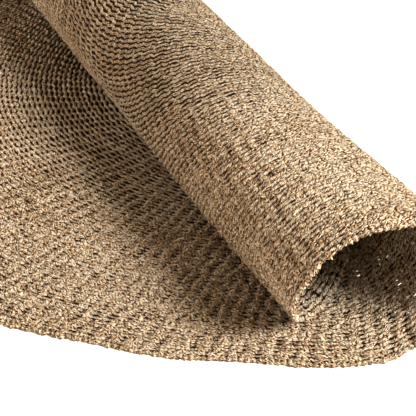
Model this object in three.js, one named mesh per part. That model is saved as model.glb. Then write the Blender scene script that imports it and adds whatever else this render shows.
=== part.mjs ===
// A round crocheted sisal rug. Its left part lies flat on the floor. Its right side is lifted, rolled over to
// the left into a loose open tube, and tucked under, so that the last half turn lies inside the tube.
// Millimetres. X runs across the roll, Y along it with the open mouth at -Y, and Z up.

import * as THREE from "three";
import { mergeVertices } from "three/addons/utils/BufferGeometryUtils.js";

// The cloth, as it was made: a flat disc of even thickness.
const rugRadius = 750;
const thickness = 7;

// The line, parallel to Y, at which the rug leaves the floor, measured from the middle of the disc.
const liftOffX = -203;

// How far the uneven outline stands out from a true circle. A bearing is in degrees, from the mouth's end (-Y)
// round by the flat side (-X). The last row is the first one again, a full turn on.
const outline = [
  { bearing: -40, out: 0 },
  { bearing: -22, out: 3 },
  { bearing: -16, out: -3 },
  { bearing: -9, out: 4 },
  { bearing: 2, out: 0 },
  { bearing: 11, out: -3 },
  { bearing: 18, out: 4 },
  { bearing: 29, out: -8 },
  { bearing: 36, out: -3 },
  { bearing: 43, out: -5 },
  { bearing: 54, out: 8 },
  { bearing: 66, out: 3 },
  { bearing: 90, out: 0 },
  { bearing: 118, out: 4 },
  { bearing: 143, out: -4 },
  { bearing: 170, out: 3 },
  { bearing: 200, out: -3 },
  { bearing: 240, out: 2 },
  { bearing: 290, out: -2 },
  { bearing: 320, out: 0 },
];

// The section of the roll, followed from the lift-off line: up the right side, over the crown, down the left side,
// under, and a second time up the inside. Each radius is to the middle of the cloth.
const turns = [
  { part: "rise", degrees: 90, radius: 102 },
  { part: "crown", degrees: 90, radius: 104 },
  { part: "fall", degrees: 90, radius: 99 },
  { part: "tuck", degrees: 90, radius: 95.5 },
  { part: "inner floor", degrees: 90, radius: 92 },
  { part: "inner rise", degrees: 90, radius: 88 },
  { part: "inner end", degrees: 90, radius: 86 },
];

// The roll is a little wider at the mouth than at the far end, and its crown leans to the right.
const stations = [
  { y: -750, size: 1.038, lean: 13 },
  { y: -375, size: 1.023, lean: 1 },
  { y: 0, size: 1.0, lean: 6 },
  { y: 375, size: 0.969, lean: 19 },
  { y: 750, size: 0.94, lean: 24 },
];

// The lean grows with the height above the floor and is whole from here up.
const leanHeight = 187;

// The grid of the surface: columns across the roll and rows along it.
const flatColumns = 15;
const rollColumns = 66;
const tipColumns = 5;
const rows = 12;
const firstBearing = THREE.MathUtils.degToRad(2);
const tipWidth = 60;

// Reads a table at a place between its rows, with no step in value or slope.
function readTable(table, key, column, place) {
  const last = table.length - 1;
  if (place <= table[0][key]) return table[0][column];
  if (place >= table[last][key]) return table[last][column];
  const next = table.findIndex((row) => row[key] > place);
  const before = table[next - 1];
  const after = table[next];
  const share = THREE.MathUtils.smoothstep(place, before[key], after[key]);
  return THREE.MathUtils.lerp(before[column], after[column], share);
}

// Follows the turns for a length of cloth, and gives the place in the section and the slope there.
function followRoll(length) {
  let x = 0;
  let z = 0;
  let slope = 0;
  let left = length;
  for (const turn of turns) {
    const whole = THREE.MathUtils.degToRad(turn.degrees) * turn.radius;
    const part = Math.min(left, whole);
    const end = slope + part / turn.radius;
    x += turn.radius * (Math.sin(end) - Math.sin(slope));
    z += turn.radius * (Math.cos(slope) - Math.cos(end));
    slope = end;
    left -= part;
    if (left <= 0) break;
  }
  return { x, z, slope };
}

// Puts a point of the flat disc, at a height above the middle of the cloth, where the rolled rug has it.
function placePoint(discX, discY, height) {
  const reach = Math.hypot(discX, discY) / rugRadius;
  const degrees = THREE.MathUtils.radToDeg(Math.atan2(-discX, -discY));
  const bearing = degrees < outline[0].bearing ? degrees + 360 : degrees;
  const grow = 1 + (readTable(outline, "bearing", "out", bearing) / rugRadius) * reach ** 6;
  const x = discX * grow;
  const y = discY * grow;
  const middle = thickness / 2;
  if (x <= liftOffX) return new THREE.Vector3(x, y, middle + height);
  const size = readTable(stations, "y", "size", y);
  const spot = followRoll((x - liftOffX) / size);
  const z = middle + spot.z * size;
  const lean = readTable(stations, "y", "lean", y) * Math.min(1, z / leanHeight);
  return new THREE.Vector3(
    liftOffX + spot.x * size + lean - Math.sin(spot.slope) * height,
    y,
    z + Math.cos(spot.slope) * height,
  );
}

// The columns of the grid, from the flat edge to the inner end: close together where the outline turns fast.
function columnPlaces() {
  const places = [];
  const liftOffTurn = Math.acos(-liftOffX / rugRadius);
  for (let i = 0; i < flatColumns; i += 1) {
    const turn = THREE.MathUtils.lerp(firstBearing, liftOffTurn, i / flatColumns);
    places.push(-rugRadius * Math.cos(turn));
  }
  for (let i = 0; i < rollColumns; i += 1) {
    places.push(THREE.MathUtils.lerp(liftOffX, rugRadius - tipWidth, i / rollColumns));
  }
  const tipTurn = Math.acos((rugRadius - tipWidth) / rugRadius);
  for (let i = 0; i <= tipColumns; i += 1) {
    places.push(rugRadius * Math.cos(THREE.MathUtils.lerp(tipTurn, firstBearing, i / tipColumns)));
  }
  return places;
}

// The rug is one closed sheet: a thin block with a grid of faces, whose points are moved onto the rolled disc.
function makeRug() {
  const places = columnPlaces();
  const columns = places.length - 1;
  const block = new THREE.BoxGeometry(1, 1, 1, columns, rows, 1);
  const points = block.attributes.position;
  for (let i = 0; i < points.count; i += 1) {
    const discX = places[Math.round((points.getX(i) + 0.5) * columns)];
    const chord = 2 * Math.sqrt(rugRadius ** 2 - discX ** 2);
    const spot = placePoint(discX, points.getY(i) * chord, points.getZ(i) * thickness);
    points.setXYZ(i, spot.x, spot.y, spot.z);
  }
  block.deleteAttribute("normal");
  block.deleteAttribute("uv");
  const sheet = mergeVertices(block);
  sheet.computeVertexNormals();
  return sheet;
}

const sisal = new THREE.MeshStandardMaterial({ color: 0xae9372, roughness: 0.85, metalness: 0 });
const rug = new THREE.Mesh(makeRug(), sisal);
rug.name = "rug";

// The origin is on the floor, under the middle of the box that the rug fills.
rug.geometry.computeBoundingBox();
const middle = rug.geometry.boundingBox.getCenter(new THREE.Vector3());
rug.position.set(-middle.x, -middle.y, 0);

const part = new THREE.Group();
part.add(rug);

export default part;
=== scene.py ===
# %% [markdown]
# A round sisal rug, worked round and round from one long cord, lies half flat and half rolled up. The
# construction model gives its place and its main form. This lesson gives it its looks: rounds of twisted
# cord, dark gaps between them, straw colours, an uneven edge, loose fibres, and a photographer's light.

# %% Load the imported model
import math

import bmesh
import bpy
import numpy as np
from mathutils import Matrix, Vector


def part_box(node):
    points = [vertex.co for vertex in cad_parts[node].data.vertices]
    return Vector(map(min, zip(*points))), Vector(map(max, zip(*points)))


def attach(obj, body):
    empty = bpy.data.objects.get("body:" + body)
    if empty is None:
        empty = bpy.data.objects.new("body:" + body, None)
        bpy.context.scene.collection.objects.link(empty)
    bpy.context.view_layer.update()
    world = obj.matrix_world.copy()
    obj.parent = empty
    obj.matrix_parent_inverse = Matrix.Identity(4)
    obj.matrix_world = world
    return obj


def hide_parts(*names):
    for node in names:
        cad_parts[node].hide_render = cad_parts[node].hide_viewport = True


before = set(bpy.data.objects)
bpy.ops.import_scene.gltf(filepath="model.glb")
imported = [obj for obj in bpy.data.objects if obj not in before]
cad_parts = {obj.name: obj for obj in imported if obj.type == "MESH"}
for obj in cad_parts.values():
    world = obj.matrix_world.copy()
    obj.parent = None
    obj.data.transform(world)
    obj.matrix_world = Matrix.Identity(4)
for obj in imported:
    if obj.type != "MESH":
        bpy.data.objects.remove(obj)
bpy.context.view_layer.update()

# %% [markdown]
# Everything on the rug follows the same form, so the form comes first. The rug was made as a flat disc.
# Three short tables say how it lies now: how far its outline stands out from a true circle, how the cloth
# turns in the roll, and how the roll changes from its mouth to its far end. They are the construction
# model's own tables, with lengths in metres.

# %% The sizes of the rug
RUG_RADIUS = 0.750
CLOTH_THICKNESS = 0.007
LIFT_OFF_X = -0.203
LEAN_HEIGHT = 0.187

# Bearing in degrees, from the mouth's end round by the flat side, and how far the outline stands out.
OUTLINE = [
    (-40, 0.0),
    (-22, 0.003),
    (-16, -0.003),
    (-9, 0.004),
    (2, 0.0),
    (11, -0.003),
    (18, 0.004),
    (29, -0.008),
    (36, -0.003),
    (43, -0.005),
    (54, 0.008),
    (66, 0.003),
    (90, 0.0),
    (118, 0.004),
    (143, -0.004),
    (170, 0.003),
    (200, -0.003),
    (240, 0.002),
    (290, -0.002),
    (320, 0.0),
]

# The part of the turn, its angle in degrees, and its radius to the middle of the cloth.
TURNS = [
    ("rise", 90, 0.102),
    ("crown", 90, 0.104),
    ("fall", 90, 0.099),
    ("tuck", 90, 0.0955),
    ("inner floor", 90, 0.092),
    ("inner rise", 90, 0.088),
    ("inner end", 90, 0.086),
]

# The place along the roll, its size there, and how far its crown leans to the right.
STATIONS = [
    (-0.750, 1.038, 0.013),
    (-0.375, 1.023, 0.001),
    (0.0, 1.0, 0.006),
    (0.375, 0.969, 0.019),
    (0.750, 0.94, 0.024),
]

# The outline's bumps fade quickly towards the middle, by this power of the distance from it.
OUTLINE_FADE = 6

# The flat edge of the disc reaches the left side of the model's box, which gives the disc's middle.
rug_low, rug_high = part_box("rug")
DISC_X = rug_low.x + RUG_RADIUS
print("the disc's middle is at x =", round(DISC_X, 4))


# %% [markdown]
# A point of the flat disc is carried onto the rolled rug by one function. It works on whole arrays of
# points, so a mesh of any piece can be made flat, in the way the maker works, and rolled up with the rest
# afterwards.

# %% Carry points from the flat disc onto the rolled rug
def read_table(rows, column, places):
    """Read one column of a table at many places, easing smoothly from each row to the next."""
    keys = np.array([row[0] for row in rows], float)
    values = np.array([row[column] for row in rows], float)
    after = np.clip(np.searchsorted(keys, places), 1, len(keys) - 1)
    share = np.clip((places - keys[after - 1]) / (keys[after] - keys[after - 1]), 0, 1)
    eased = share * share * (3 - 2 * share)
    return values[after - 1] * (1 - eased) + values[after] * eased


def follow_roll(length):
    """Follow the turns for a length of cloth: the place in the roll's section, and the slope there."""
    x = np.zeros_like(length)
    z = np.zeros_like(length)
    slope = np.zeros_like(length)
    left = length
    for _, degrees, radius in TURNS:
        part = np.clip(left, 0, math.radians(degrees) * radius)
        end = slope + part / radius
        x = x + radius * (np.sin(end) - np.sin(slope))
        z = z + radius * (np.cos(slope) - np.cos(end))
        slope = end
        left = left - part
    return x, z, slope


def place_points(disc_x, disc_y, height):
    """Points of the flat disc, at heights above the middle of the cloth, where the rolled rug has them."""
    reach = np.hypot(disc_x, disc_y) / RUG_RADIUS
    degrees = np.degrees(np.arctan2(-disc_x, -disc_y))
    bearing = np.where(degrees < OUTLINE[0][0], degrees + 360, degrees)
    grow = 1 + read_table(OUTLINE, 1, bearing) / RUG_RADIUS * reach**OUTLINE_FADE
    x = disc_x * grow
    y = disc_y * grow
    size = read_table(STATIONS, 1, y)
    roll_x, roll_z, slope = follow_roll(np.maximum(x - LIFT_OFF_X, 0) / size)
    z = CLOTH_THICKNESS / 2 + roll_z * size
    lean = np.where(x > LIFT_OFF_X, read_table(STATIONS, 2, y) * np.minimum(1, z / LEAN_HEIGHT), 0)
    placed_x = DISC_X + np.minimum(x, LIFT_OFF_X) + roll_x * size + lean - np.sin(slope) * height
    return np.stack([placed_x, y, z + np.cos(slope) * height], axis=-1)


# The place on the flat disc that has become the top of the roll.
TOP_X = 0.12
top_of_roll = place_points(np.array([TOP_X]), np.array([0.0]), np.array([-CLOTH_THICKNESS / 2]))[0]
print("the roll's top is at z =", round(float(top_of_roll[2]), 4), "and the model's at", round(rug_high.z, 4))

# %% [markdown]
# The camera stands where the photographer's stood: in front and to the left, looking down by 33 degrees,
# from over two metres away. Its direction is worked out from plain angles, and it is rolled by less than
# a degree, as a hand-set camera often is.

# %% The camera
AIM = Vector((0.175, -0.311, 0.0))
CAMERA_DISTANCE = 2.2943
CAMERA_DOWN = math.radians(33.18)
CAMERA_TURN = math.radians(25.16)
CAMERA_ROLL = math.radians(0.73)
PHOTO_PIXELS = 416
FOCAL_PIXELS = 1589.1

forward = Vector((
    math.cos(CAMERA_DOWN) * math.sin(CAMERA_TURN),
    math.cos(CAMERA_DOWN) * math.cos(CAMERA_TURN),
    -math.sin(CAMERA_DOWN),
))
level_right = Vector((math.cos(CAMERA_TURN), -math.sin(CAMERA_TURN), 0))
level_up = level_right.cross(forward)
right = level_right * math.cos(CAMERA_ROLL) + level_up * math.sin(CAMERA_ROLL)
up = level_up * math.cos(CAMERA_ROLL) - level_right * math.sin(CAMERA_ROLL)
turned = Matrix((right, up, -forward)).transposed().to_4x4()

camera_data = bpy.data.cameras.new("camera")
camera_data.sensor_fit = "HORIZONTAL"
camera_data.sensor_width = 36.0
camera_data.lens = camera_data.sensor_width * FOCAL_PIXELS / PHOTO_PIXELS
camera = bpy.data.objects.new("camera", camera_data)
bpy.context.scene.collection.objects.link(camera)
camera.matrix_world = Matrix.Translation(AIM - forward * CAMERA_DISTANCE) @ turned
bpy.context.scene.camera = camera
print("the camera is at", [round(c, 3) for c in camera.matrix_world.translation])
print("and its lens is", round(camera_data.lens, 1), "mm")


# %% [markdown]
# The studio is a pale floor that is lit until it melts into a white background. The main light stands to
# the right and in front, and throws the roll's soft shadow to the left. A weak warm light fills in from
# the front. A large warm softbox, low on the left, lights the roll's left side and grazes the flat part,
# and a second, smaller one stands near the roll's mouth. A faint warm light comes from all round. The rest
# comes off the floor and the cord itself, so it is cream, and the floor's own colour is cream too. The
# Standard view keeps whites white, and a gamma below one gives the deep, warm shadows of a finished
# product photo.

# %% The studio
KEY_STRENGTH = 6.45
NEAR_WATTS = 8.0
FAR_WATTS = 35.0
FRONT_STRENGTH = 0.65
FILL_STRENGTH = 0.05
WARM_FILL = (1.0, 0.76, 0.54)
FLOOR_HALF = 40.0
FLOOR_COLOUR = (0.92, 0.84, 0.76)
FLOOR_GLOW = 0.08
VIEW_GAMMA = 0.88

bpy.context.scene.view_settings.view_transform = "Standard"
bpy.context.scene.view_settings.gamma = VIEW_GAMMA


def toward(bearing, elevation):
    """The direction to a light. Its bearing is in degrees from the right, anticlockwise seen from above."""
    turn, rise = math.radians(bearing), math.radians(elevation)
    return Vector((math.cos(rise) * math.cos(turn), math.cos(rise) * math.sin(turn), math.sin(rise)))


def add_sun(name, bearing, elevation, strength, softness, colour):
    """A light from far away, whose softness is the angle that it fills."""
    light = bpy.data.lights.new(name, "SUN")
    light.energy = strength
    light.angle = math.radians(softness)
    light.color = colour
    thing = bpy.data.objects.new(name, light)
    bpy.context.scene.collection.objects.link(thing)
    thing.rotation_euler = toward(bearing, elevation).to_track_quat("Z", "Y").to_euler()


add_sun(
    "key",
    bearing=-60,
    elevation=39,
    strength=KEY_STRENGTH,
    softness=20,
    colour=(1.0, 0.98, 0.945),
)
add_sun(
    "front_fill",
    bearing=-130,
    elevation=60,
    strength=FRONT_STRENGTH,
    softness=60,
    colour=WARM_FILL,
)


def add_softbox(name, target, bearing, elevation, distance, size, watts, colour):
    """A round softbox close to a place on the rug, so that its light falls off across the rug."""
    light = bpy.data.lights.new(name, "AREA")
    light.shape = "DISK"
    light.size = size
    light.energy = watts
    light.color = colour
    thing = bpy.data.objects.new(name, light)
    bpy.context.scene.collection.objects.link(thing)
    source = toward(bearing, elevation)
    thing.location = Vector(target) + source * distance
    thing.rotation_euler = source.to_track_quat("Z", "Y").to_euler()


add_softbox(
    "near_softbox",
    target=(0.1, -0.5, 0.1),
    bearing=-60,
    elevation=30,
    distance=1.2,
    size=0.7,
    watts=NEAR_WATTS,
    colour=(1.0, 0.93, 0.84),
)
add_softbox(
    "far_softbox",
    target=(-0.1, 0.0, 0.05),
    bearing=158,
    elevation=23,
    distance=1.7,
    size=1.2,
    watts=FAR_WATTS,
    colour=(1.0, 0.86, 0.72),
)

world = bpy.data.worlds.new("fill")
world.use_nodes = True
world.node_tree.nodes["Background"].inputs["Color"].default_value = (*WARM_FILL, 1.0)
world.node_tree.nodes["Background"].inputs["Strength"].default_value = FILL_STRENGTH
bpy.context.scene.world = world


def new_material(name, roughness, shine):
    """A material with a principled shader of this roughness and shine, its node tree and the shader."""
    material = bpy.data.materials.new(name)
    material.use_nodes = True
    shader = material.node_tree.nodes["Principled BSDF"]
    shader.inputs["Roughness"].default_value = roughness
    shader.inputs["Specular IOR Level"].default_value = shine
    return material, material.node_tree, shader


def make_floor():
    """A large cream floor that glows a little, so that it is white in the photo and bounces warm light."""
    bm = bmesh.new()
    bmesh.ops.create_grid(bm, x_segments=1, y_segments=1, size=FLOOR_HALF)
    mesh = bpy.data.meshes.new("floor")
    bm.to_mesh(mesh)
    bm.free()
    material, _, shader = new_material("cream_floor", roughness=0.9, shine=0.1)
    shader.inputs["Base Color"].default_value = (*FLOOR_COLOUR, 1)
    shader.inputs["Emission Color"].default_value = (1, 1, 1, 1)
    shader.inputs["Emission Strength"].default_value = FLOOR_GLOW
    mesh.materials.append(material)
    floor = bpy.data.objects.new("floor", mesh)
    bpy.context.scene.collection.objects.link(floor)


make_floor()
print("the studio has", len(bpy.data.lights), "lights and a floor")


# %% [markdown]
# A node tree takes many lines when every socket is set by hand. These few helpers do it instead. Every
# node gets a label that says what it does here, and most helpers return the new node's output, so that a
# material reads like a recipe.

# %% Helpers for node trees
def add_node(tree, kind, label, **settings):
    """Add a node, with its own settings and a label that says what it does here."""
    node = tree.nodes.new(kind)
    node.label = label
    for name, value in settings.items():
        setattr(node, name, value)
    return node


def feed(tree, node, socket, source):
    """Link an output to a socket, or set the socket to a number or a colour."""
    if isinstance(source, bpy.types.NodeSocket):
        tree.links.new(source, node.inputs[socket])
    else:
        node.inputs[socket].default_value = source


def calculate(tree, label, operation, first, second=0.0, third=0.0):
    """A math node on up to three outputs or numbers, and its result."""
    node = add_node(tree, "ShaderNodeMath", label, operation=operation)
    for socket, source in enumerate((first, second, third)):
        feed(tree, node, socket, source)
    return node.outputs["Value"]


def colour_ramp(tree, label, factor, stops):
    """A colour ramp with stops of (place, colour), and its colour."""
    node = add_node(tree, "ShaderNodeValToRGB", label)
    elements = node.color_ramp.elements
    while len(elements) < len(stops):
        elements.new(0.5)
    for element, (place, colour) in zip(elements, stops):
        element.position = place
        element.color = (*colour, 1)
    feed(tree, node, "Fac", factor)
    return node.outputs["Color"]


def noise(tree, label, vector, scale, detail, roughness=0.5):
    """A noise pattern on a vector, and its value from 0 to 1."""
    node = add_node(tree, "ShaderNodeTexNoise", label)
    feed(tree, node, "Vector", vector)
    feed(tree, node, "Scale", scale)
    feed(tree, node, "Detail", detail)
    feed(tree, node, "Roughness", roughness)
    return node.outputs["Fac"]


def fibre_material(name, scale, detail, stops, roughness, shine):
    """A material of fibres, whose colours change from place to place on the rug."""
    material, tree, shader = new_material(name, roughness, shine)
    place = add_node(tree, "ShaderNodeTexCoord", "place on the rug")
    change = noise(tree, "fibre by fibre", place.outputs["Object"], scale, detail)
    colour = colour_ramp(tree, "dark to light", change, stops)
    tree.links.new(colour, shader.inputs["Base Color"])
    return material


# %% [markdown]
# Sisal isn't one colour. Each cord is spun from fibres of cream, straw and brown, and where the plies
# cross a stitch their strands come up as small knobs with creases between them. One way to draw them
# is by hand-made bumps, but a cell pattern does it for the whole rug: its cells are laid round and along
# the cord by the UV map named twist, so they follow the plies, and the distance to a cell's middle gives
# both the crease's depth and its dark colour, which is painted shade for the shadow in the crease. Fine
# streaks, flecks of loose fibre, slow clouds of colour on Object coordinates and a tone that each length
# of cord carries as an attribute are added before one ramp turns the sum into brown, straw and cream. The
# tone also carries a painted highlight: the cord is lighter where it swells between stitches.

# %% The cord's finish
PLIES = 6
KNOBS_A_PLY = 2.5
KNOBS_A_TURN = 10.0
KNOB_PAINTED_SHADE = 1.95
KNOB_CHANCE = 0.6
KNOB_BASE = -0.26
KNOB_RANDOMNESS = 0.85
STREAKS_A_PLY = 3.0
STREAKS_A_TURN = 7.0
STREAK_SHADE = 0.5
FLECK_SCALE = 480.0
FLECK_SHADE = 1.0
CLOUD_SCALE = 9.0
CLOUD_SHADE = 0.35
STREAK_RELIEF = 0.5
CREASE_RELIEF = -2.2
GROOVE_DEPTH = 0.0025
SISAL_COLOURS = [
    (0.0, (0.07, 0.031, 0.011)),
    (0.2, (0.20, 0.096, 0.034)),
    (0.42, (0.42, 0.268, 0.138)),
    (0.66, (0.60, 0.452, 0.290)),
    (0.86, (0.72, 0.61, 0.45)),
    (1.0, (0.83, 0.75, 0.61)),
]


def make_cord_material():
    """Twisted sisal: knobs and streaks follow the plies round the cord, by the UV map named twist."""
    material, tree, shader = new_material("sisal_cord", roughness=0.7, shine=0.1)
    twist = add_node(tree, "ShaderNodeUVMap", "round the cord and along it", uv_map="twist")
    split = add_node(tree, "ShaderNodeSeparateXYZ", "round, along")
    feed(tree, split, "Vector", twist.outputs["UV"])
    around, along = split.outputs["X"], split.outputs["Y"]
    ply = calculate(tree, "across the plies", "MULTIPLY", around, PLIES)

    across = calculate(tree, "fibres across a ply", "MULTIPLY", ply, STREAKS_A_PLY)
    streak_vector = add_node(tree, "ShaderNodeCombineXYZ", "along the fibres")
    feed(tree, streak_vector, "X", across)
    feed(tree, streak_vector, "Y", calculate(tree, "along the plies", "MULTIPLY", along, STREAKS_A_TURN))
    streaks = noise(tree, "fibre streaks", streak_vector.outputs["Vector"], scale=1.0, detail=2.0)

    knob_vector = add_node(tree, "ShaderNodeCombineXYZ", "knob by knob")
    feed(tree, knob_vector, "X", calculate(tree, "knobs round the cord", "MULTIPLY", ply, KNOBS_A_PLY))
    feed(tree, knob_vector, "Y", calculate(tree, "knobs along the cord", "MULTIPLY", along, KNOBS_A_TURN))
    knobs = add_node(tree, "ShaderNodeTexVoronoi", "where strands come up", voronoi_dimensions="2D")
    feed(tree, knobs, "Vector", knob_vector.outputs["Vector"])
    feed(tree, knobs, "Scale", 1.0)
    feed(tree, knobs, "Randomness", KNOB_RANDOMNESS)
    chance = add_node(tree, "ShaderNodeSeparateColor", "one number a knob")
    feed(tree, chance, "Color", knobs.outputs["Color"])
    bulge = calculate(tree, "round knobs", "POWER", knobs.outputs["Distance"], 2.0)

    place = add_node(tree, "ShaderNodeTexCoord", "place on the rug")
    clouds = noise(tree, "slow clouds of colour", place.outputs["Object"], CLOUD_SCALE, detail=2.0)
    flecks = noise(tree, "loose fibres every way", place.outputs["Object"], FLECK_SCALE, detail=2.0)
    # This attribute holds a tone that differs at random and a painted highlight where the cord swells.
    tone_and_highlight = add_node(tree, "ShaderNodeAttribute", "tone and painted highlight of this cord", attribute_name="tone_and_highlight")

    # Painted shade: the colour darkens towards the edge of each knob, in the creases where shadow falls.
    total = calculate(tree, "painted shade between the knobs", "MULTIPLY_ADD", bulge, -KNOB_PAINTED_SHADE, KNOB_BASE)
    total = calculate(tree, "each knob its own", "MULTIPLY_ADD", chance.outputs["Red"], KNOB_CHANCE, total)
    total = calculate(tree, "and streaks", "MULTIPLY_ADD", streaks, STREAK_SHADE, total)
    total = calculate(tree, "and flecks", "MULTIPLY_ADD", flecks, FLECK_SHADE, total)
    total = calculate(tree, "and clouds", "MULTIPLY_ADD", clouds, CLOUD_SHADE, total)
    total = calculate(tree, "and tone with its highlight", "ADD", total, tone_and_highlight.outputs["Fac"])
    colour = colour_ramp(tree, "brown, straw, cream", total, SISAL_COLOURS)
    tree.links.new(colour, shader.inputs["Base Color"])

    relief = calculate(tree, "fibres stand up", "MULTIPLY", streaks, STREAK_RELIEF)
    relief = calculate(tree, "creases go down", "MULTIPLY_ADD", bulge, CREASE_RELIEF, relief)
    bump = add_node(tree, "ShaderNodeBump", "ply relief")
    feed(tree, bump, "Strength", 1.0)
    feed(tree, bump, "Distance", GROOVE_DEPTH)
    feed(tree, bump, "Height", relief)
    tree.links.new(bump.outputs["Normal"], shader.inputs["Normal"])
    return material


cord_material = make_cord_material()
print("the cord's material has", len(cord_material.node_tree.nodes), "nodes")


# %% [markdown]
# Between the rounds the eye falls on the inside of the stitches, where the cord lies in its own shadow. A
# thin sheet in the middle of the cloth stands for it, and its near-black colour is painted shade for that
# shadow. It starts as a grid whose columns are bent round into a disc, with one ring of faces inside each
# round. Looking into the roll's mouth, the photo shows white specks where the light comes through open
# stitches of the right wall. Some faces of the sheet are left out there, and the gaps of the rounds do the
# rest.

# %% The inside of the stitches, as a sheet of painted shade
ROUNDS = 93
ROUND_STEP = RUG_RADIUS / ROUNDS
GROUND_COLUMNS = 168
GROUND_THICKNESS = 0.0016
WALL_HOLES_X = (-0.17, -0.07)
WALL_HOLES_Y = -0.49
WALL_HOLES_SHARE = 0.9
GROUND_WELD = 0.00001
GROUND_SEED = 5
# Near-black browns: painted shade for the shadow deep inside the stitches.
PAINTED_SHADE_BROWNS = [
    (0.35, (0.006, 0.003, 0.001)),
    (0.55, (0.018, 0.009, 0.004)),
    (0.72, (0.07, 0.04, 0.018)),
]


def grid_points(columns, rows):
    """Which column and which row each point of a bmesh grid is in, in the order the operator makes them."""
    points = np.arange((columns + 1) * (rows + 1))
    return points % (columns + 1), points // (columns + 1)


def object_from(name, bm, material):
    """A smooth-shaded object at the origin from a finished bmesh."""
    mesh = bpy.data.meshes.new(name)
    bm.to_mesh(mesh)
    bm.free()
    mesh.shade_smooth()
    mesh.materials.append(material)
    thing = bpy.data.objects.new(name, mesh)
    bpy.context.scene.collection.objects.link(thing)
    return thing


def move_points(bm, places):
    """Put the points of a bmesh at an array of places."""
    for vert, place in zip(bm.verts, places.tolist()):
        vert.co = place


def make_ground():
    """A sheet of painted shade in the middle of the cloth, with holes for light in the roll's right wall."""
    bm = bmesh.new()
    bmesh.ops.create_grid(bm, x_segments=GROUND_COLUMNS, y_segments=ROUNDS, size=1)
    rng = np.random.default_rng(GROUND_SEED)
    centres = (np.array([face.calc_center_median()[:2] for face in bm.faces]) + 1) / 2
    bearing, distance = centres[:, 0] * math.tau, centres[:, 1] * RUG_RADIUS
    face_x, face_y = distance * np.cos(bearing), distance * np.sin(bearing)
    on_wall = (face_x > WALL_HOLES_X[0]) & (face_x < WALL_HOLES_X[1]) & (face_y < WALL_HOLES_Y)
    every_other = np.floor(centres[:, 0] * GROUND_COLUMNS) % 2 == 1
    holed = on_wall & every_other & (rng.random(len(centres)) < WALL_HOLES_SHARE)
    holes = [face for face, hole in zip(bm.faces, holed) if hole]
    column, ring = grid_points(GROUND_COLUMNS, ROUNDS)
    angle = column / GROUND_COLUMNS * math.tau
    radius = np.minimum(ring * ROUND_STEP, RUG_RADIUS - ROUND_STEP / 2)
    radius = np.maximum(radius, ROUND_STEP / 4)
    flat_x, flat_y = radius * np.cos(angle), radius * np.sin(angle)
    move_points(bm, place_points(flat_x, flat_y, np.zeros_like(angle)))
    bmesh.ops.delete(bm, geom=holes, context="FACES")
    bmesh.ops.remove_doubles(bm, verts=bm.verts, dist=GROUND_WELD)
    material = fibre_material(
        "stitch_painted_shade",
        scale=420.0,
        detail=2.0,
        stops=PAINTED_SHADE_BROWNS,
        roughness=0.9,
        shine=0.15,
    )
    ground = object_from("stitch_painted_shade", bm, material)
    solidify = ground.modifiers.new("thickness", "SOLIDIFY")
    solidify.thickness = GROUND_THICKNESS
    solidify.offset = 0
    return ground


ground = make_ground()
print("the inside of the stitches has", len(ground.data.polygons), "faces before its thickness")

# %% [markdown]
# A round is one twisted cord. Each stitch pulls it tight once: between two stitches the cord fills its
# place, and at a stitch it is drawn thin as it sways from one side to the other, which opens a dark gap.
# Each round's stitches stand a little beside those of the last, so the gaps make leaning columns. The
# maker works tightly in the middle and more loosely outside, so the middle has long gaps in neat rows and
# the outside has short, scattered ones. A round has to be longer than the last, so now and then the maker
# adds stitches: here the number of stitches stays the same for a band of rounds, and then goes up. The
# last round is an edge of small knobs.
#
# A cord could be a tube with its plies painted on. Here every ply is one side of a six-sided section that
# turns as it goes, so the twist is real form for the price of a plain tube. The rolled part shows the
# cloth's other side, where the photo's strands lean the other way. A real cord doesn't turn back there.
# Here the outer rounds do, on both faces of the rolled part, which gives its outside the photo's lean.
#
# Each round is a bmesh grid whose points are moved onto a closed ring. Its wander and its changes in
# thickness are made on the flat disc, a little narrower underneath than on top, and then the whole round
# is rolled up with the rug.

# %% The sizes of a round
BAND_RADII = [0.0, 0.020, 0.028, 0.039, 0.054, 0.075, 0.106, 0.148, 0.207, 0.290, 0.400, 0.560]
CLOSEST_STITCHES = 0.0165
CORD_STEP = 0.0039
CORD_TURN = 0.039
TURN_LENGTHS = [(0.0, 0.140), (0.40, 0.080), (0.50, 0.045)]
EDGE_STEP = 0.00156
EDGE_KNOB = 0.0078
CORD_HALF_WIDTH = 0.0047
CORD_HALF_DEPTH = 0.0038
UNDER_NARROW = 0.13
STITCH_SWAY = 0.0014

# How far from the middle the tight stitches end and the loose ones begin, and what each looks like.
LOOSE_RADII = (0.34, 0.50)
# The last entry of each is a painted highlight: the cord is made lighter where it swells between stitches,
# only in the tight middle.
TIGHT = {"closed": -1.8, "swell": 0.75, "pull": 0.07, "sway": 1.0, "stray": 1.0, "tone_and_highlight": 0.04}
LOOSE = {"closed": 1.7, "swell": 0.91, "pull": 0.20, "sway": 0.55, "stray": 1.5, "tone_and_highlight": 0.0}

# Each round's stitches stand this far beside those of the last, in radians of a stitch, and this is how
# sharply a stitch pulls, how much its sway leans to one side, and how far it rises.
LEAN_A_ROUND = 0.6
PULL_SHARPNESS = 3.0
SWAY_LEAN = 0.25
STITCH_RISE = 0.0004

# How much is left to chance. The place is in metres, the twist in radians, and the rest plain numbers.
PULL_STRAY = 2.4
SLACK_STRAY = 0.3
SLACK_MOST = 0.12
SWELL_STRAY = 0.10
PLACE_STRAY = 0.0006
TWIST_STRAY = 1.3
PLY_STRAY = 0.12
TONE_SLOW = 0.06
TONE_QUICK = 0.08

# The edge round: how thick it is, how much its knobs add, and how uneven both are.
EDGE_SWELL = 0.90
EDGE_KNOB_SWELL = 0.26
EDGE_KNOB_STRAY = 2.0
EDGE_SWELL_STRAY = 0.36

# No ring has fewer stitches, mesh steps or turns than these, and the first band counts as this wide.
FEWEST_STITCHES = 6
FEWEST_STEPS = 12
FEWEST_TURNS = 2
FIRST_BAND = 0.012

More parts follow.
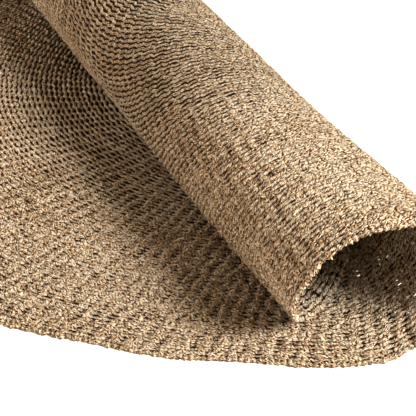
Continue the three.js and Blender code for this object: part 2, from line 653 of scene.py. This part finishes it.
print("each round is", round(1000 * ROUND_STEP, 2), "mm from the next")

# %% What a round is like at its distance from the middle
ROUND_SEED = 12
rng = np.random.default_rng(ROUND_SEED)


def stitches_at(radius):
    """How many stitches a round of this radius has."""
    start = max(row for row in BAND_RADII if row <= radius)
    return max(FEWEST_STITCHES, round(math.tau * max(start, FIRST_BAND) / CLOSEST_STITCHES))


def steps_at(round_number):
    """How many steps of mesh a round has. The edge round has the most, for its knobs."""
    step = EDGE_STEP if round_number == ROUNDS - 1 else CORD_STEP
    return max(FEWEST_STEPS, round(math.tau * (round_number + 0.5) * ROUND_STEP / step))


def turns_at(radius):
    """How many times the plies of a round turn about the cord."""
    length = max(row for row in TURN_LENGTHS if row[0] <= radius)[1]
    return max(FEWEST_TURNS, round(math.tau * radius / length))


def ply_turn(radius, angle):
    """How far the plies have turned along a round. Outside, they lean the other way on the rolled part."""
    rolled = (radius > LOOSE_RADII[0]) & (radius * np.cos(angle) > LIFT_OFF_X)
    lean = np.where(rolled, -1.0, 1.0)
    turned = turns_at(radius) * np.append(0, np.cumsum(lean[:-1] * np.diff(angle)))
    whole = round(turned[-1] / math.tau) * math.tau
    return turned + (whole - turned[-1]) * angle / math.tau


def stitch_style(radius):
    """The look of the stitches at a radius, from the tight ones of the middle to the loose ones outside."""
    share = np.clip((radius - LOOSE_RADII[0]) / (LOOSE_RADII[1] - LOOSE_RADII[0]), 0, 1)
    return {name: TIGHT[name] * (1 - share) + LOOSE[name] * share for name in TIGHT}


def wander(angle, knots, amount):
    """A random change round a closed ring, in straight runs between knots, mostly within the amount."""
    places = np.linspace(0, math.tau, knots, endpoint=False)
    values = rng.normal(0, amount / 2, knots)
    return np.interp(angle, places, values, period=math.tau)


def edge_swell(angle, radius, stitches):
    """How thick the edge round is on its way round, with its small knobs."""
    phase = round(math.tau * radius / EDGE_KNOB) * angle + wander(angle, stitches, EDGE_KNOB_STRAY)
    return EDGE_SWELL + EDGE_KNOB_SWELL * np.cos(phase) + wander(angle, 3 * stitches, EDGE_SWELL_STRAY)


def uneven_plies(steps):
    """A thickness for each ply at each step, the same where the ring meets itself."""
    rough = np.ones((steps + 1, PLIES + 1))
    rough[:-1, :-1] += rng.normal(0, PLY_STRAY, (steps, PLIES))
    rough[-1] = rough[0]
    rough[:, -1] = rough[:, 0]
    return rough.ravel()


print("a round half-way out has", stitches_at(RUG_RADIUS / 2), "stitches")


# %% One round of cord
def add_round(bm, round_number, tones_and_highlights, maps):
    """One round of cord in the bmesh, as a closed ring of grid faces with one side to each ply."""
    radius = (round_number + 0.5) * ROUND_STEP
    stitches = stitches_at(radius)
    steps = steps_at(round_number)
    bmesh.ops.create_grid(bm, x_segments=PLIES, y_segments=steps, size=1)
    side, step = grid_points(PLIES, steps)
    angle = step[:: PLIES + 1] / steps * math.tau
    style = stitch_style(radius)
    phase = stitches * angle + LEAN_A_ROUND * round_number + wander(angle, stitches, style["stray"])
    pull = np.tanh(PULL_SHARPNESS * np.cos(phase) + style["closed"] + wander(angle, stitches, PULL_STRAY))
    slack = np.clip(wander(angle, stitches, SLACK_STRAY), 0, SLACK_MOST) * (1 - pull) / 2
    swell = style["swell"] + style["pull"] * pull - slack + wander(angle, 2 * stitches, SWELL_STRAY)
    if round_number == ROUNDS - 1:
        swell = edge_swell(angle, radius, stitches)
    sway = -np.sin(phase) - SWAY_LEAN * np.sin(2 * phase)
    middle = radius + style["sway"] * STITCH_SWAY * sway + wander(angle, stitches, PLACE_STRAY)
    height = STITCH_RISE * np.cos(phase) + wander(angle, stitches, PLACE_STRAY)
    # Painted highlight: lighter where the cord swells between stitches. The wander that follows is tone that
    # differs at random.
    tone_and_highlight = style["tone_and_highlight"] * (1 + pull) + wander(angle, max(3, stitches // 6), TONE_SLOW)
    tone_and_highlight = tone_and_highlight + wander(angle, 2 * stitches, TONE_QUICK)
    twist = (ply_turn(radius, angle) + wander(angle, 2 * stitches, TWIST_STRAY))[step]
    around = -side / PLIES * math.tau - twist
    size = swell[step] * uneven_plies(steps)
    width = CORD_HALF_WIDTH * (1 + UNDER_NARROW * (np.sin(around) - 1) / 2)
    reach = middle[step] + width * size * np.cos(around)
    raised = height[step] + CORD_HALF_DEPTH * size * np.sin(around)
    turned = angle[step]
    places = place_points(reach * np.cos(turned), reach * np.sin(turned), raised)
    tones_and_highlights.append(tone_and_highlight[step])
    maps.append(np.stack([side / PLIES, radius * angle[step] / CORD_TURN], axis=-1))
    places[:, 2] = np.maximum(places[:, 2], 0)
    return places


# %% [markdown]
# The rounds are made in runs, from the middle outwards, so that no piece has too many triangles. Each run
# is one piece. A round starts as an open grid, so its two seams, round the cord and along it, are closed
# by joining the points that lie on each other.

# %% Work the rounds
PIECE_TRIANGLES = 165000
RING_WELD = 0.000002


def make_rounds(name, numbers):
    """A piece of several rounds."""
    bm = bmesh.new()
    tones_and_highlights, maps, places = [], [], []
    for number in numbers:
        places.append(add_round(bm, number, tones_and_highlights, maps))
    mesh = bpy.data.meshes.new(name)
    bm.to_mesh(mesh)
    bm.free()
    mesh.vertices.foreach_set("co", np.concatenate(places).astype(np.float32).ravel())
    tone_and_highlight = mesh.attributes.new("tone_and_highlight", "FLOAT", "POINT")
    tone_and_highlight.data.foreach_set("value", np.concatenate(tones_and_highlights).astype(np.float32))
    corner = np.empty(len(mesh.loops), np.int32)
    mesh.loops.foreach_get("vertex_index", corner)
    twist = mesh.uv_layers.new(name="twist")
    twist.data.foreach_set("uv", np.concatenate(maps)[corner].astype(np.float32).ravel())
    close_rings(mesh)
    mesh.materials.append(cord_material)
    piece = bpy.data.objects.new(name, mesh)
    bpy.context.scene.collection.objects.link(piece)
    return piece


def close_rings(mesh):
    """Join the two open seams of every ring, round the cord and along it, and shade it smooth."""
    bm = bmesh.new()
    bm.from_mesh(mesh)
    bmesh.ops.remove_doubles(bm, verts=bm.verts, dist=RING_WELD)
    bm.to_mesh(mesh)
    bm.free()
    mesh.shade_smooth()


def share_rounds():
    """Split the rounds into runs that stay under the number of triangles for a piece."""
    runs, run, count = [], [], 0
    for number in range(ROUNDS):
        triangles = steps_at(number) * PLIES * 2
        if run and count + triangles > PIECE_TRIANGLES:
            runs.append(run)
            run, count = [], 0
        run.append(number)
        count += triangles
    runs.append(run)
    return runs


rounds = []
for index, numbers in enumerate(share_rounds()):
    piece = make_rounds(f"rounds_{index + 1}", numbers)
    rounds.append(piece)
    print(piece.name, "rounds", numbers[0], "to", numbers[-1], "triangles", 2 * len(piece.data.polygons))

# %% [markdown]
# Sisal is hairy. Where the cord was spun, the ends of fibres stay out of it, stiff and a little bent. At
# arm's length they are what makes the edge of the rug look soft. Each one here is a three-sided rod,
# about a third of a millimetre thick, that ends in a point at both ends. A few thousand of them, most
# towards the edge, are one piece.

# %% Loose ends of fibre
FIBRES = 4000
FIBRE_SIDES = 3
FIBRE_STEPS = 4
FIBRE_HALF = 0.0002
FIBRE_LENGTHS = (0.006, 0.016)
FIBRE_ROOT = 0.0028
FIBRE_LIFTS = (0.05, 0.5)
FIBRE_BEND = 0.7
FIBRE_TAPER = 6
FIBRE_SEED = 31
UNDER_SHARE = 0.5
STRAW_TO_CREAM = [(0.3, (0.42, 0.27, 0.14)), (0.7, (0.72, 0.60, 0.44))]

# The smaller this power, the more of the fibres stand near the edge.
FIBRE_SPREAD = 0.35

# Fibres under the cloth start here, where it has left the floor.
UNDER_FROM_X = LIFT_OFF_X + 0.05


def make_fibres():
    """Thin bent rods that stand out of the cord on both sides of the cloth."""
    rng = np.random.default_rng(FIBRE_SEED)
    bm = bmesh.new()
    rows = FIBRES * (FIBRE_STEPS + 1) - 1
    bmesh.ops.create_grid(bm, x_segments=FIBRE_SIDES, y_segments=rows, size=1)
    side, row = grid_points(FIBRE_SIDES, rows)
    part = row % (FIBRE_STEPS + 1) / FIBRE_STEPS
    around = side / FIBRE_SIDES * math.tau
    fibre = row // (FIBRE_STEPS + 1)
    owner = dict(zip(bm.verts, fibre.tolist()))
    between = [face for face in bm.faces if len({owner[vert] for vert in face.verts}) > 1]
    root_radius = (RUG_RADIUS * rng.random(FIBRES) ** FIBRE_SPREAD)[fibre]
    root_angle = (math.tau * rng.random(FIBRES))[fibre]
    root_x, root_y = root_radius * np.cos(root_angle), root_radius * np.sin(root_angle)
    face = np.where((rng.random(FIBRES)[fibre] < UNDER_SHARE) & (root_x > UNDER_FROM_X), -1, 1)
    heading = (math.tau * rng.random(FIBRES))[fibre] + rng.normal(0, FIBRE_BEND, FIBRES)[fibre] * part
    along = rng.uniform(*FIBRE_LENGTHS, FIBRES)[fibre] * part
    lift = rng.uniform(*FIBRE_LIFTS, FIBRES)[fibre]
    half = FIBRE_HALF * np.minimum(1, FIBRE_TAPER * part * (1 - part))
    x = root_x + along * np.cos(heading) - half * np.cos(around) * np.sin(heading)
    y = root_y + along * np.sin(heading) + half * np.cos(around) * np.cos(heading)
    height = face * (FIBRE_ROOT + lift * along) + half * np.sin(around)
    places = place_points(x, y, height)
    places[:, 2] = np.maximum(places[:, 2], 0)
    move_points(bm, places)
    bmesh.ops.delete(bm, geom=between, context="FACES")
    bmesh.ops.remove_doubles(bm, verts=bm.verts, dist=RING_WELD)
    material = fibre_material(
        "loose_fibre",
        scale=60.0,
        detail=1.0,
        stops=STRAW_TO_CREAM,
        roughness=0.6,
        shine=0.2,
    )
    return object_from("loose_fibres", bm, material)


fibres = make_fibres()
print("the loose fibres have", sum(len(face.vertices) - 2 for face in fibres.data.polygons), "triangles")

# %% [markdown]
# All of the pieces ride on the one body, and they stand together for the model's plain rug, which is hidden.

# %% Put the pieces on the body and hide the plain rug
for piece in [ground, *rounds, fibres]:
    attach(piece, "root")
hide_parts("rug")
